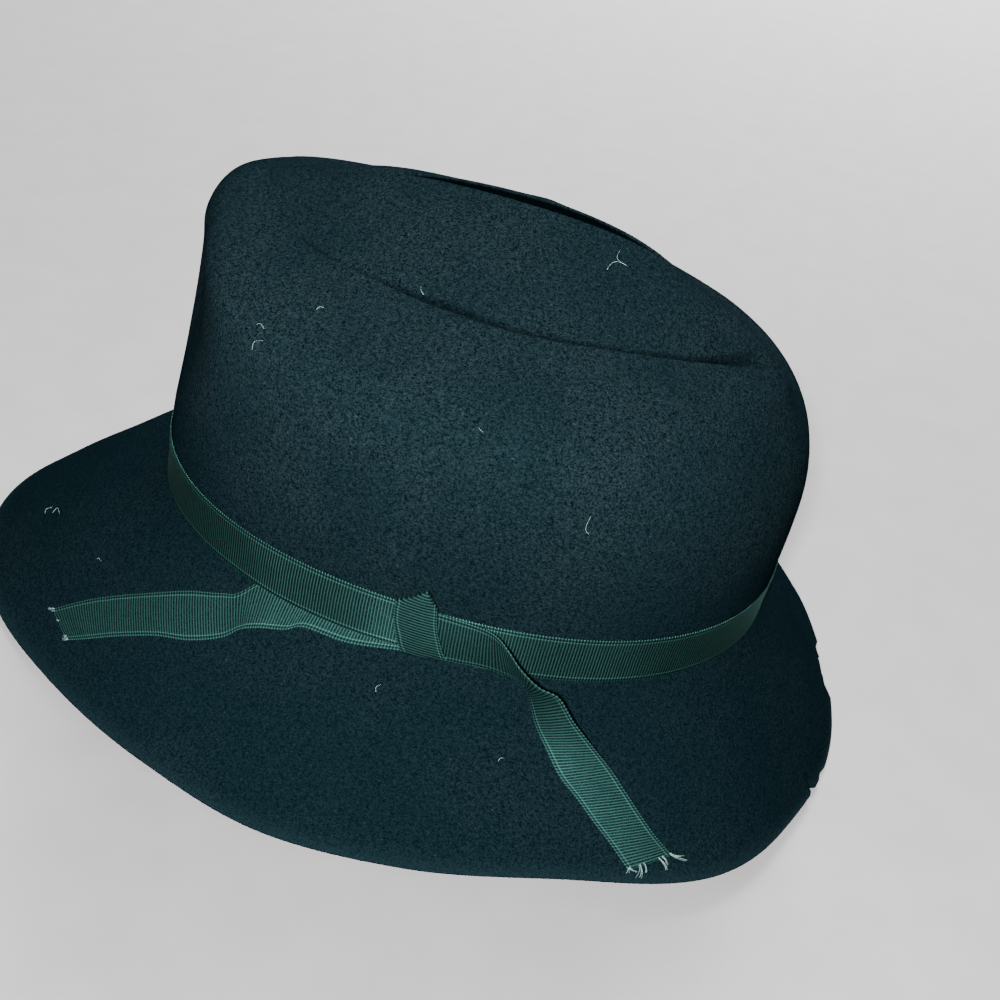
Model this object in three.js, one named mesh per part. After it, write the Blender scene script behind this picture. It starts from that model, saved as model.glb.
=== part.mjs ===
import * as THREE from 'three';
import { mergeVertices } from 'three/addons/utils/BufferGeometryUtils.js';

// A soft felt hat: a tall creased crown and a sloping brim in one piece of
// felt, and a grosgrain ribbon tied round the crown with two loose tails.
// Millimetres, Z up, the front of the hat faces -Y, it rests on Z = 0.

// ---------------------------------------------------------------- sizes
const HEAD_WIDTH = 174;        // outside of the crown at the brim's root
const HEAD_LENGTH = 207;
const CROWN_HEIGHT = 114;      // from the root to the highest ridge
const ROOT_HEIGHT = 51.6;      // from the table to the root
const BRIM_REACH = 44;         // usual reach of the brim beyond the crown
const BRIM_BULGE = 2;          // the brim's slope is slightly domed
const LEAN_ANGLE = 0.985;      // the crown leans back, in degrees
const FELT = 2;                // wall of the felt
const CUT_EDGE = 1.2;          // height of the brim's cut face
const PRESSED = 0.3;           // how far the brim's lowest parts are flattened
const PINCH_DEPTH = 5.5;       // the two finger dents at the front
const RIBBON_WIDTH = 16;
const RIBBON = 1;              // thickness of a ribbon solid
const CLEARANCE = 0.3;         // between two pieces that touch
const LAYER = RIBBON + CLEARANCE;

const halfWidth = HEAD_WIDTH / 2;
const halfLength = HEAD_LENGTH / 2;

// ---------------------------------------------------------------- tables
// The crown as rings from the root up, over the shoulder, into the crease
// that runs round the tip, up the sloping roof to the two ridges, and down
// into the slot between them, where the last ring closes on itself.
// side is a share of the half width, front and back of the half length, and
// the three heights are shares of the crown's height.
const CROWN_RINGS = [
  // side, front, back, height at front, at side, at back
  [1.000, 1.000, 0.997, 0.000, 0.000, 0.000],
  [1.005, 1.008, 1.007, 0.140, 0.140, 0.140],
  [1.014, 1.013, 1.014, 0.316, 0.307, 0.298],
  [1.016, 1.013, 1.009, 0.500, 0.456, 0.421],
  [1.005, 1.011, 0.982, 0.658, 0.579, 0.526],
  [0.971, 1.011, 0.941, 0.754, 0.658, 0.610],
  [0.914, 0.999, 0.906, 0.816, 0.711, 0.671],
  [0.845, 0.980, 0.883, 0.863, 0.744, 0.715],
  [0.776, 0.953, 0.868, 0.891, 0.770, 0.744],
  [0.695, 0.914, 0.850, 0.909, 0.798, 0.763],
  [0.638, 0.875, 0.839, 0.913, 0.818, 0.774],
  [0.603, 0.850, 0.831, 0.915, 0.821, 0.777],   // the crease
  [0.563, 0.835, 0.815, 0.920, 0.840, 0.793],
  [0.437, 0.773, 0.729, 0.939, 0.880, 0.851],
  [0.241, 0.691, 0.628, 0.955, 0.939, 0.900],
  [0.121, 0.628, 0.541, 0.967, 0.982, 0.923],
  [0.075, 0.580, 0.488, 0.972, 1.000, 0.935],   // the ridge
  [0.041, 0.531, 0.444, 0.967, 0.974, 0.932],
  [0.017, 0.483, 0.406, 0.956, 0.935, 0.921],
  [0.000, 0.444, 0.367, 0.952, 0.918, 0.917],   // bottom of the slot
];

// The brim's edge every 20 degrees from the front round to the back, the
// same on both sides: reach as a share of BRIM_REACH, lift over the table as
// a share of ROOT_HEIGHT.
const BRIM_EDGE = [
  // reach, lift
  [1.523, 0.000],
  [1.307, 0.006],
  [1.027, 0.027],
  [0.943, 0.041],
  [0.980, 0.041],
  [0.936, 0.083],
  [0.909, 0.138],
  [1.039, 0.124],
  [0.895, 0.062],
  [0.891, 0.000],
];

// Worn-away places in the cut edge: azimuth and half span as shares of a half
// turn, and depth as a share of BRIM_REACH. Azimuths run from the front
// towards +X.
const NIBBLES = [
  { azimuth: -0.911, halfSpan: 0.033, depth: 0.059 },
  { azimuth: 0.925, halfSpan: 0.012, depth: 0.036 },
];

// Edges of the two tails, station by station from the knot. angle is the
// ring angle in degrees, place is a share: above 0 up the ribbon's width on
// the crown, below 0 down the brim from its root to its edge. off is how far
// the ribbon stands off the felt, as a share of the ribbon's width.
const BACK_TAIL = [
  // lower edge: angle, place, off; upper edge: angle, place, off
  [92.9, 0.06, 0.131, 91.6, 1.04, 0.131],
  [97.3, 0.05, 0.131, 96.9, 1.05, 0.144],
  [102.6, 0.00, 0.144, 101.6, 1.05, 0.219],
  [106.1, -0.02, 0.125, 103.8, 1.02, 0.338],
  [108.6, -0.04, 0.106, 105.6, 0.88, 0.463],
  [110.0, -0.06, 0.087, 108.0, 0.64, 0.637],
  [110.5, -0.10, 0.075, 111.2, 0.40, 0.775],
  [110.8, -0.16, 0.062, 114.4, -0.13, 0.762],
  [111.6, -0.27, 0.056, 117.4, -0.23, 0.525],
  [112.9, -0.39, 0.050, 120.6, -0.35, 0.287],
  [114.9, -0.51, 0.050, 122.8, -0.46, 0.144],
  [117.0, -0.62, 0.050, 124.6, -0.57, 0.106],
  [119.3, -0.72, 0.050, 126.5, -0.67, 0.106],
  [121.4, -0.82, 0.050, 128.4, -0.77, 0.100],
  [123.8, -0.93, 0.050, 130.6, -0.86, 0.081],
];
const FRONT_TAIL = [
  [88.0, -0.11, 0.050, 88.0, -0.05, 0.050],
  [82.8, -0.11, 0.050, 82.8, -0.05, 0.050],
  [76.5, -0.13, 0.050, 76.2, -0.05, 0.050],
  [72.0, -0.19, 0.056, 70.6, -0.05, 0.050],
  [69.6, -0.22, 0.081, 66.9, -0.05, 0.050],
  [67.7, -0.26, 0.081, 63.4, -0.08, 0.056],
  [65.4, -0.34, 0.056, 60.2, -0.14, 0.050],
  [61.3, -0.43, 0.050, 54.9, -0.24, 0.050],
  [56.5, -0.53, 0.050, 49.6, -0.35, 0.050],
  [50.8, -0.64, 0.050, 44.3, -0.49, 0.050],
  [47.0, -0.73, 0.050, 40.2, -0.62, 0.050],
  [43.9, -0.83, 0.050, 36.8, -0.77, 0.050],
];

// The knot's wrap, from its top return at the crown down the front of the
// tied layers: place up the ribbon's width and stand-off, which counts the
// layers under it, and how far the wrap slants forward.
const UNDER_KNOT = CLEARANCE + 2 * LAYER;
const KNOT_WRAP = [
  // place, off, slant in degrees
  [1.15, CLEARANCE + RIBBON / 2, 2.2],
  [1.17, LAYER + 0.4 * RIBBON, 1.7],
  [1.17, 2 * LAYER, 1.2],
  [1.11, UNDER_KNOT + RIBBON / 2, 0.8],
  [0.85, UNDER_KNOT + 0.7 * RIBBON, 0.2],
  [0.45, UNDER_KNOT + 0.7 * RIBBON, -0.9],
  [0.06, UNDER_KNOT + RIBBON / 2, -2.0],
];
const KNOT_ANGLE = 92.4;       // middle of the knot
const KNOT_ACROSS = 13;        // the wrap is drawn in a little narrower

// ---------------------------------------------------------------- helpers
const { clamp, degToRad, lerp, radToDeg, smoothstep } = THREE.MathUtils;

// Smooth value of an evenly spaced table, mirrored at both of its ends.
function tableAt(table, column, place) {
  const last = table.length - 1;
  const mirror = (i) => Math.abs(i) > last ? 2 * last - Math.abs(i) : Math.abs(i);
  const i = Math.min(Math.floor(place), last - 1);
  const u = place - i;
  const [a, b, c, d] = [-1, 0, 1, 2].map((k) => table[mirror(i + k)][column]);
  return b + 0.5 * u * (c - a + u * (2 * a - 5 * b + 4 * c - d
    + u * (3 * (b - c) + d - a)));
}

// The crown's own frame, with the root at height 0, set down on the table.
function stand(point) {
  return point.applyAxisAngle(new THREE.Vector3(1, 0, 0), -degToRad(LEAN_ANGLE))
    .add(new THREE.Vector3(0, 0, ROOT_HEIGHT));
}

// One point of a ring: a superellipse in plan whose height goes from the
// side's height to the front's or back's. Rings near the tip are pointed.
function ringPoint(ring, angle, standOff = 0) {
  const [side, front, back, zFront, zSide, zBack] = ring;
  const c = Math.cos(angle);
  const s = Math.sin(angle);
  const atFront = c > 0;
  const full = smoothstep(side, 0.58, 0.99);
  const exponent = lerp(atFront ? 1.62 : 1.5, 2.2, full);
  const across = Math.sign(s) * Math.abs(s) ** (2 / exponent);
  const along = Math.abs(c) ** (2 / exponent);
  const rise = atFront ? 3 + 2 * smoothstep(1 - side, 0.03, 0.4)
    - 2.6 * smoothstep(1 - side, 0.5, 0.85) : 2;
  const reach = halfLength * (atFront ? front : back) + standOff;
  const z = CROWN_HEIGHT * (zSide + ((atFront ? zFront : zBack) - zSide) * along ** rise);
  return new THREE.Vector3(
    (halfWidth * side + (side > 0 ? standOff : 0)) * across,
    (atFront ? -reach : reach) * along, z);
}

// The finger dents either side of the front push the wall towards the back.
function pinch(point) {
  const across = (Math.abs(point.x) / halfWidth - 0.356) / 0.195;
  const up = point.z / CROWN_HEIGHT;
  const dent = Math.exp(-1.4 * across * across)
    * smoothstep(up, 0.16, 0.56) * (1 - smoothstep(up, 0.66, 0.91));
  if (point.y < 0) point.y += PINCH_DEPTH * dent;
  return point;
}

const crownPoint = (ring, angle) => stand(pinch(ringPoint(ring, angle)));

// The wall under the ribbon: share of the ribbon's width up from the root.
function wallPoint(angle, share) {
  const [low, high] = CROWN_RINGS;
  const up = share * RIBBON_WIDTH / (high[4] * CROWN_HEIGHT);
  return stand(ringPoint(low.map((v, i) => lerp(v, high[i], up)), angle));
}

// How far the cut edge is worn back at an azimuth.
function nibbled(azimuth) {
  let depth = 0;
  for (const n of NIBBLES) {
    const away = Math.abs(azimuth / Math.PI - n.azimuth) / n.halfSpan;
    depth = Math.max(depth, n.depth * BRIM_REACH * (1 - smoothstep(away, 0.6, 1)));
  }
  return depth;
}

function brimLift(azimuth) {
  const place = Math.abs(radToDeg(azimuth)) / 20;
  return Math.max(0, tableAt(BRIM_EDGE, 1, place) * ROOT_HEIGHT - PRESSED);
}

// The brim's upper face: share 0 at the root, 1 at the cut edge.
function brimPoint(angle, share) {
  const root = stand(ringPoint(CROWN_RINGS[0], angle));
  const azimuth = Math.atan2(root.x, -root.y);
  const place = Math.abs(radToDeg(azimuth)) / 20;
  const reach = tableAt(BRIM_EDGE, 0, place) * BRIM_REACH - nibbled(azimuth);
  const radius = Math.hypot(root.x, root.y);
  const grow = 1 + reach * share / radius;
  const edge = brimLift(azimuth) + CUT_EDGE;
  return new THREE.Vector3(root.x * grow, root.y * grow,
    lerp(root.z, edge, share) + BRIM_BULGE * 4 * share * (1 - share));
}

// A point off the felt, by ring angle, place and stand-off.
function offFelt(angleDeg, place, off) {
  const at = (angle, p) => p > 0 ? wallPoint(angle, p) : brimPoint(angle, -p);
  const angle = degToRad(angleDeg);
  const step = 0.02;
  const around = at(angle + step, place).sub(at(angle - step, place));
  const up = at(angle, place + step).sub(at(angle, place - step));
  const normal = around.cross(up).normalize();
  return at(angle, place).addScaledVector(normal, off);
}

// ---------------------------------------------------------------- solids
// Closed solid from rows of points. Each row is a loop when looped is true;
// the rows themselves run round a closed section when ringed is true.
function solidFromRows(rows, { looped, ringed }) {
  const positions = rows.flat().flatMap((p) => [p.x, p.y, p.z]);
  const n = rows[0].length;
  const index = [];
  const rowCount = ringed ? rows.length : rows.length - 1;
  const colCount = looped ? n : n - 1;
  for (let i = 0; i < rowCount; i++) {
    for (let j = 0; j < colCount; j++) {
      const a = i * n + j;
      const b = i * n + (j + 1) % n;
      const c = ((i + 1) % rows.length) * n + j;
      const d = ((i + 1) % rows.length) * n + (j + 1) % n;
      index.push(a, c, d, a, d, b);
    }
  }
  if (!looped) {
    for (const j of [0, n - 1]) {
      const half = rows.length / 2;
      for (let i = 0; i < half - 1; i++) {
        const a = i * n + j;
        const b = (i + 1) * n + j;
        const c = (rows.length - 1 - i) * n + j;
        const d = (rows.length - 2 - i) * n + j;
        if (j === 0) index.push(a, d, b, a, c, d);
        else index.push(a, b, d, a, d, c);
      }
    }
  }
  const geometry = new THREE.BufferGeometry();
  geometry.setAttribute('position', new THREE.Float32BufferAttribute(positions, 3));
  geometry.setIndex(index);
  return outwards(mergeVertices(geometry, 1e-3));
}

// Turns a closed surface's triangles to face outwards.
function outwards(geometry) {
  const p = geometry.attributes.position;
  const index = geometry.index.array;
  const [a, b, c] = [0, 1, 2].map(() => new THREE.Vector3());
  let volume = 0;
  for (let i = 0; i < index.length; i += 3) {
    a.fromBufferAttribute(p, index[i]);
    b.fromBufferAttribute(p, index[i + 1]);
    c.fromBufferAttribute(p, index[i + 2]);
    volume += a.dot(b.cross(c));
  }
  if (volume < 0) {
    for (let i = 0; i < index.length; i += 3) {
      [index[i + 1], index[i + 2]] = [index[i + 2], index[i + 1]];
    }
  }
  return geometry;
}

// Unit normals of a grid of points, by differences; looped joins each row.
function gridNormals(grid, looped) {
  const n = grid[0].length;
  return grid.map((row, i) => row.map((_, j) => {
    const before = looped ? (j + n - 1) % n : Math.max(j - 1, 0);
    const after = looped ? (j + 1) % n : Math.min(j + 1, n - 1);
    const around = row[after].clone().sub(row[before]);
    const down = grid[Math.min(i + 1, grid.length - 1)][j].clone()
      .sub(grid[Math.max(i - 1, 0)][j]);
    return around.cross(down).normalize();
  }));
}

// A ribbon solid: a grid of points on its middle surface, thickened.
function ribbonSolid(grid, looped = false) {
  const normals = gridNormals(grid, looped);
  const face = (side) => grid.map((row, i) => row.map((point, j) =>
    point.clone().addScaledVector(normals[i][j], side * RIBBON / 2)));
  return solidFromRows([...face(1), ...face(-1).reverse()], { looped, ringed: true });
}

// ---------------------------------------------------------------- pieces
const AROUND = 88;             // facets round the hat
const BRIM_STEPS = 7;
const angles = Array.from({ length: AROUND }, (_, j) => 2 * Math.PI * j / AROUND);

function feltBody() {
  const outer = [...CROWN_RINGS].reverse().map((ring) =>
    angles.map((angle) => crownPoint(ring, angle)));
  for (let k = 1; k <= BRIM_STEPS; k++) {
    outer.push(angles.map((angle) => brimPoint(angle, k / BRIM_STEPS)));
  }
  const normals = gridNormals(outer, true);
  const sign = Math.sign(normals[12][0].y) > 0 ? 1 : -1;
  const inner = outer.map((row, i) => row.map((point, j) => {
    if (i === 0) return point.clone().add(new THREE.Vector3(0, 0, -1.3 * FELT));
    return point.clone().addScaledVector(normals[i][j], sign * FELT);
  }));
  // the cut edge and the narrow foot that it rests on
  const edge = outer[outer.length - 1];
  const lastInner = inner.pop();
  const cut = edge.map((p) => new THREE.Vector3(p.x, p.y, p.z - CUT_EDGE));
  const foot = lastInner.map((p, j) => new THREE.Vector3(p.x, p.y, cut[j].z));
  return solidFromRows([...outer, cut, foot, ...inner.reverse()],
    { looped: true, ringed: false });
}

function ribbonBand() {
  const shares = [CLEARANCE / RIBBON_WIDTH, 0.5, 1 + CLEARANCE / RIBBON_WIDTH];
  const off = CLEARANCE + RIBBON / 2;
  return ribbonSolid(shares.map((share) =>
    angles.map((angle) => offFelt(radToDeg(angle), share, off))), true);
}

function tail(stations) {
  const across = 4;
  return ribbonSolid(stations.map(([a0, p0, o0, a1, p1, o1]) => {
    const low = offFelt(a0, p0, o0 * RIBBON_WIDTH);
    const high = offFelt(a1, p1, o1 * RIBBON_WIDTH);
    return Array.from({ length: across + 1 }, (_, k) =>
      low.clone().lerp(high, k / across));
  }));
}

function knot() {
  const columns = 6;
  const perDegree = offFelt(KNOT_ANGLE + 3, 0.5, 0)
    .distanceTo(offFelt(KNOT_ANGLE - 3, 0.5, 0)) / 6;
  const half = KNOT_ACROSS / 2 / perDegree;
  return ribbonSolid(KNOT_WRAP.map(([place, off, slant]) =>
    Array.from({ length: columns + 1 }, (_, k) => offFelt(
      KNOT_ANGLE - slant + lerp(-half, half, k / columns), place, off))));
}

// ---------------------------------------------------------------- assembly
const feltMaterial = () => new THREE.MeshStandardMaterial({ color: 0x17343b, roughness: 0.95 });
const ribbonMaterial = () => new THREE.MeshStandardMaterial({ color: 0x2c6b5c, roughness: 0.6 });

const hat = new THREE.Group();
hat.name = 'felt_hat';
for (const [name, geometry, material] of [
  ['felt_body', feltBody(), feltMaterial()],
  ['ribbon_band', ribbonBand(), ribbonMaterial()],
  ['ribbon_knot', knot(), ribbonMaterial()],
  ['ribbon_tail_front', tail(FRONT_TAIL), ribbonMaterial()],
  ['ribbon_tail_back', tail(BACK_TAIL), ribbonMaterial()],
]) {
  const mesh = new THREE.Mesh(geometry, material);
  mesh.name = name;
  hat.add(mesh);
}

// the origin is under the middle of the hat's box
const box = new THREE.Box3().setFromObject(hat);
const middle = (box.min.y + box.max.y) / 2;
for (const mesh of hat.children) mesh.geometry.translate(0, -middle, -box.min.z);

export default hat;
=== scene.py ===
import math

import bmesh
import bpy
import numpy as np
from mathutils import Matrix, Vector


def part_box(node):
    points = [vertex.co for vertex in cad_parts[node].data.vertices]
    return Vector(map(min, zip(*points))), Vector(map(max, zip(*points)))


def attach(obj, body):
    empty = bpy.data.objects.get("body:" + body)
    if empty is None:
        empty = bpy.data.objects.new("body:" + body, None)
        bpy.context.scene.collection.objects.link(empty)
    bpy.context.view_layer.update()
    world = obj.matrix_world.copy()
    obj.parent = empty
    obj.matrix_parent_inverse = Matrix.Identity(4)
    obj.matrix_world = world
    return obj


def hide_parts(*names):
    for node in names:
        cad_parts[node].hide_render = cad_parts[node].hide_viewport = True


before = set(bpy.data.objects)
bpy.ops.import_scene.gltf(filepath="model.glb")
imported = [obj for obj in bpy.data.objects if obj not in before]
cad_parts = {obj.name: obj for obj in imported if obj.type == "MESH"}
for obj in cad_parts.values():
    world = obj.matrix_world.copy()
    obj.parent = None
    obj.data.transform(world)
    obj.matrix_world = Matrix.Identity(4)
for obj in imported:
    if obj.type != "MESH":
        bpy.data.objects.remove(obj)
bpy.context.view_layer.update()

# --------------------------------------------------------------- sizes, mm
MM = 0.001
HEAD_WIDTH, HEAD_LENGTH = 174.0, 207.0
CROWN_HEIGHT = 114.0
ROOT_HEIGHT = 51.6
BRIM_REACH = 44.0
BRIM_BULGE = 2.0
LEAN = math.radians(0.985)
FELT = 2.0
CUT_EDGE = 1.2
PRESSED = 0.3
PINCH_DEPTH = 5.5
PINCH_MIDDLE, PINCH_HALF = 0.356, 0.195      # shares of HALF_WIDTH
RIM_AT, RIM_UP, RIM_HEIGHT = 0.78, 0.58, 1.2
UNEVEN = 0.33                 # how far the felt wanders from its even shape
BRIM_WIDTH = 62.0             # down the brim's slope where the front tail lies
RIBBON_WIDTH = 16.0
RIBBON = 0.4                  # real grosgrain, thinner than its solid
RIB_PITCH = 0.97
FRAY_RADIUS, LINT_RADIUS = 0.12, 0.045
HALF_WIDTH, HALF_LENGTH = HEAD_WIDTH / 2, HEAD_LENGTH / 2

# The crown as rings from the root up, over the shoulder, into the crease,
# up the roof to the ridge and down into the slot. Shares of the half sizes
# and of the crown's height, as in the part's source.
CROWN_RINGS = np.array([
    # side, front, back, height at front, at side, at back
    [1.000, 1.000, 0.997, 0.000, 0.000, 0.000],
    [1.005, 1.008, 1.007, 0.140, 0.140, 0.140],
    [1.014, 1.013, 1.014, 0.316, 0.307, 0.298],
    [1.016, 1.013, 1.009, 0.500, 0.456, 0.421],
    [1.005, 1.011, 0.982, 0.658, 0.579, 0.526],
    [0.971, 1.011, 0.941, 0.754, 0.658, 0.610],
    [0.914, 0.999, 0.906, 0.816, 0.711, 0.671],
    [0.845, 0.980, 0.883, 0.863, 0.744, 0.715],
    [0.776, 0.953, 0.868, 0.891, 0.770, 0.744],
    [0.695, 0.914, 0.850, 0.909, 0.798, 0.763],
    [0.638, 0.875, 0.839, 0.913, 0.818, 0.774],
    [0.603, 0.850, 0.831, 0.915, 0.821, 0.777],
    [0.563, 0.835, 0.815, 0.920, 0.840, 0.793],
    [0.437, 0.773, 0.729, 0.939, 0.880, 0.851],
    [0.241, 0.691, 0.628, 0.955, 0.939, 0.900],
    [0.121, 0.628, 0.541, 0.967, 0.982, 0.923],
    [0.075, 0.580, 0.488, 0.972, 1.000, 0.935],
    [0.041, 0.531, 0.444, 0.967, 0.974, 0.932],
    [0.017, 0.483, 0.406, 0.956, 0.935, 0.921],
    [0.000, 0.444, 0.367, 0.952, 0.918, 0.917],
])
RIDGE_RING, LAST_RING = 16, 19
# Ring row of the sharp crease every 15 degrees from the front to the back,
# fitted to its line in the photo.
CREASE_PATH = np.array([10.0, 10.1, 10.15, 10.4, 11.2, 11.6, 11.58, 11.42, 11.38,
                        11.5, 11.9, 12.3, 12.4])[:, None]
# The crease with the soft hollow and the low lip beside it, in mm.
ROW_STEP = 3.3                # from one ring row to the next, near the crease
CREASE_DEPTH, CREASE_HALF = 5.5, 0.66
HOLLOW_DEPTH, HOLLOW_HALF = 0.8, 2.4
LIP_HEIGHT, LIP_AWAY, LIP_HALF = 0.6, 2.6, 1.3
INSIDE_HALF = 2.6             # half width of the crease seen from inside
# The slot and the lower far ridge: depths in mm, half widths in ring rows.
SLOT_ROW, SLOT_DEPTH, SLOT_HALF = 17.6, 8.0, 0.75
# ring rows where the painted shade on the slot's walls begins and is full
SLOT_SHADE_FROM, SLOT_SHADE_FULL = 16.05, 16.25
FAR_RIDGE_DROP, FAR_RIDGE_HALF = 2.2, 1.6
# How much lower than its rings the crown's top lies: on the far side, at the
# front and at the back, in mm, and the half widths of the last two in degrees.
FAR_SLUMP, FRONT_SLUMP, BACK_SLUMP = 7.8, 5.8, 5.0
FRONT_SLUMP_HALF, BACK_SLUMP_HALF = 35, 30

# The brim's edge every 20 degrees from the front round to the back: reach
# as a share of BRIM_REACH, lift as a share of ROOT_HEIGHT.
BRIM_EDGE = np.array([
    [1.523, 0.000], [1.307, 0.006], [1.027, 0.027], [0.943, 0.041],
    [0.980, 0.041], [0.936, 0.083], [0.909, 0.138], [1.039, 0.124],
    [0.895, 0.062], [0.891, 0.000],
])

# Worn places in the cut edge: azimuth and half span in degrees, depth in mm.
NIBBLES = [
    (-161.0, 1.6, 2.4), (-164.2, 2.4, 3.0), (-168.0, 3.0, 1.7),
    (166.5, 0.9, 2.2), (171.0, 1.2, 0.7), (-140.0, 0.9, 0.6),
]

# The tails, station by station from the knot: ring angle in degrees, place
# (above 0 a share of the ribbon's width up the crown, below 0 a share of the
# brim) and stand-off in mm, for the lower and the upper edge.
BACK_TAIL = np.array([
    [92.9, 0.06, 1.5, 91.6, 1.04, 1.5],
    [97.3, 0.05, 1.7, 96.9, 1.06, 2.1],
    [102.6, 0.00, 2.1, 101.6, 1.06, 3.5],
    [106.1, -0.02, 1.9, 103.8, 1.02, 5.4],
    [108.6, -0.04, 1.5, 105.6, 0.88, 7.4],
    [110.0, -0.06, 1.2, 108.0, 0.64, 10.2],
    [110.5, -0.10, 1.0, 111.2, 0.40, 12.4],
    [110.8, -0.16, 0.8, 114.0, -0.14, 12.2],
    [111.5, -0.27, 0.6, 116.6, -0.25, 8.4],
    [113.0, -0.39, 0.5, 119.8, -0.37, 4.6],
    [114.7, -0.52, 0.5, 122.3, -0.47, 2.3],
    [116.9, -0.62, 0.5, 124.1, -0.58, 1.7],
    [119.0, -0.73, 0.5, 125.7, -0.69, 1.7],
    [121.0, -0.83, 0.5, 127.3, -0.79, 1.6],
    [123.0, -0.95, 0.5, 129.1, -0.88, 1.3],
])
# the front tail is tucked under the ribbon as far as its sixth station
FRONT_TAIL = np.array([
    [92.6, -0.01, 0.5, 92.6, 0.80, 0.4],
    [84.0, -0.075, 0.5, 84.0, 0.78, 0.4],
    [76.5, -0.09, 0.5, 76.3, 0.65, 0.4],
    [74.1, -0.14, 0.7, 73.0, 0.42, 0.4],
    [72.0, -0.17, 0.9, 70.0, 0.34, 0.4],
    [70.0, -0.20, 1.6, 67.0, 0.20, 0.4],
    [67.7, -0.25, 1.7, 63.5, -0.08, 0.8],
    [65.7, -0.33, 0.8, 60.3, -0.15, 0.7],
    [61.3, -0.43, 0.5, 54.9, -0.24, 0.5],
    [56.0, -0.51, 0.5, 49.8, -0.36, 0.5],
    [50.6, -0.63, 0.5, 44.5, -0.50, 0.5],
    [46.9, -0.73, 0.5, 40.4, -0.63, 0.5],
    [43.6, -0.82, 0.5, 36.9, -0.78, 0.5],
])
BACK_TAIL_BOW = 0.5
# loose threads at the cut ends: share across, length, lean and hook in mm
BACK_STRANDS = [(0.03, 1.6, -0.6, -0.3), (0.10, 2.2, 0.9, 0.2),
                (0.36, 4.4, -1.2, -1.6), (0.42, 3.4, -0.4, -1.0),
                (0.62, 4.6, 0.6, -0.9), (0.68, 3.6, 0.2, -0.8),
                (0.94, 4.3, 1.5, 0.7), (0.99, 3.0, 0.6, 1.2)]
FRONT_STRANDS = [(0.02, 2.4, -0.8, 0.7), (0.08, 1.8, 0.4, 0.8), (0.2, 1.2, 0.3, 0.2),
                 (0.55, 1.3, -0.2, 0.3), (0.78, 1.5, 0.5, -0.3),
                 (0.93, 2.4, 0.9, -0.5), (0.99, 2.0, -0.2, 0.6)]
# stray fibres on the felt: ring row (below 0 a share of the brim), ring angle
# in degrees, length in mm, heading in radians and bend
LINT = [(11.9, 71, 3.2, 2.4, 0.1), (4.9, 57, 4.5, 1.2, 0.25), (5.5, 56, 3.0, 0.2, 0.2),
        (3.4, 113.5, 6.0, 1.9, 0.15), (14.0, 123, 7.0, 0.5, 0.3),
        (14.4, 125, 5.5, 2.2, 0.35), (7.6, 61.5, 2.2, 0.9, 0.1),
        (-0.61, 16, 5.0, 1.0, 0.3), (-0.66, 14, 3.5, 2.0, 0.2),
        (-0.47, 35, 2.5, 0.4, 0.2), (-0.24, 89.5, 2.6, 1.4, 0.2),
        (-0.46, 106.5, 2.0, 0.7, 0.2), (5.3, 94.5, 2.0, 2.6, 0.1)]

# The photo's camera: round the crown's middle, in degrees and mm.
CAMERA_AZIMUTH, CAMERA_ELEVATION, CAMERA_ROLL = 97.507, 31.737, 12.507
CAMERA_DISTANCE, CAMERA_FOCAL, PHOTO_WIDTH = 550.22, 1600.0, 1000.0
CAMERA_TARGET = (0.0, 9.188, 56.59)


# ---------------------------------------------------------- shape functions
def smoothstep(x, low, high):
    """0 below low, 1 above high, and 3t^2 - 2t^3 between them."""
    t = np.clip((x - low) / (high - low), 0, 1)
    return t * t * (3 - 2 * t)


def bell(x, half, power=2):
    """1 at 0, and exp(-1) at half either way."""
    return np.exp(-(x / half) ** power)


def table_at(table, place, mirrored=False):
    """Rows of a table at fractional places, by Catmull-Rom: a cubic through
    each pair of rows with the slope of their neighbours. Mirrored tables
    carry on past their ends as their own mirror image."""
    table, last = np.asarray(table), len(table) - 1
    place = np.clip(place, 0, last)
    i = np.minimum(np.floor(place).astype(int), last - 1)
    u = (place - i)[..., None]

    def row(k):
        if mirrored:
            k = np.abs(k)
            k = np.where(k > last, 2 * last - k, k)
        return table[np.clip(k, 0, last)]

    a, b, c, d = (row(i + k) for k in (-1, 0, 1, 2))
    return b + 0.5 * u * (c - a + u * (2 * a - 5 * b + 4 * c - d
                                       + u * (3 * (b - c) + d - a)))


def stand(points):
    """Tips the crown's own frame back by LEAN and lifts it off the table."""
    x, y, z = np.moveaxis(points, -1, 0)
    return np.stack([x, y * math.cos(LEAN) + z * math.sin(LEAN) + MIDDLE,
                     z * math.cos(LEAN) - y * math.sin(LEAN) + ROOT_HEIGHT], -1)


def ring_points(ring, angle, off=0.0):
    """A ring in the crown's frame: x is the side times sin^(2/n), y the
    reach times cos^(2/n), and the height runs from the side's to the front's
    or back's with a power of y's share. n falls towards the tip."""
    side, front, back, z_front, z_side, z_back = np.moveaxis(ring, -1, 0)
    c, s = np.cos(angle), np.sin(angle)
    at_front = c > 0
    full = smoothstep(side, 0.58, 0.99)
    low = np.where(at_front, 1.62, 1.5)
    exponent = low + (2.2 - low) * full
    across = np.sign(s) * np.abs(s) ** (2 / exponent)
    along = np.abs(c) ** (2 / exponent)
    rise = np.where(at_front, 3 + 2 * smoothstep(1 - side, 0.03, 0.4)
                    - 2.6 * smoothstep(1 - side, 0.5, 0.85), 2.0)
    reach = HALF_LENGTH * np.where(at_front, front, back) + off
    z = CROWN_HEIGHT * (z_side + (np.where(at_front, z_front, z_back) - z_side)
                        * along ** rise)
    return np.stack([(HALF_WIDTH * side + np.where(side > 0, off, 0)) * across,
                     np.where(at_front, -reach, reach) * along, z], -1)


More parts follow.
